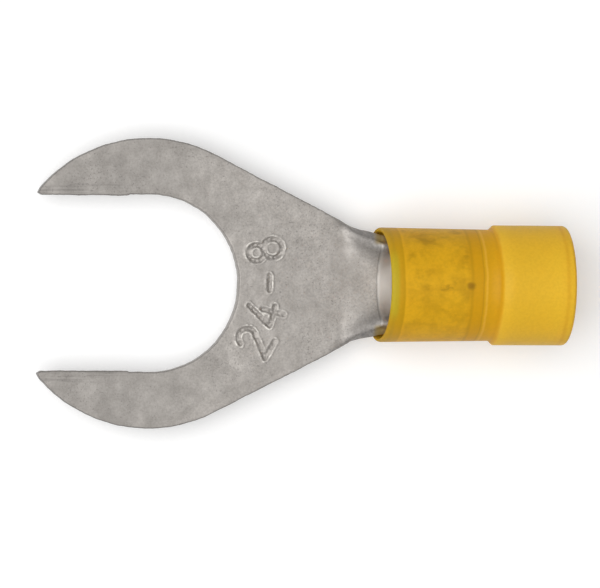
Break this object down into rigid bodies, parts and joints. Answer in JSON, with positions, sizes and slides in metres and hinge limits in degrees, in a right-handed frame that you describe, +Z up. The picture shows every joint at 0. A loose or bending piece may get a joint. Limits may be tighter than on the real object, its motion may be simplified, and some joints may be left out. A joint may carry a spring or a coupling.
{
  "type": "insulated fork terminal",
  "caption": "Crimp terminal for a wire's end: a flat tinned copper fork, stamped and rolled in one piece with its wire barrel, in a translucent yellow sleeve with a wider bell.",
  "frame": {"origin": "centre of the terminal's outline, at the level of the bell's lowest line", "axes": "+X from the fork to the wire end along the barrel's axis, +Y across the fork, +Z up on the side where the barrel's seam closes"},
  "size_m": [0.0314, 0.0172, 0.0071],
  "materials": {
    "tinned_copper": "dull electro-tinned copper sheet, fine mottle, sheared edges",
    "yellow_nylon": "translucent yellow moulded nylon, smooth"
  },
  "bodies": {
    "root": {"terminal_body": "tinned_copper", "insulating_sleeve": "yellow_nylon"}
  },
  "joints": []
}
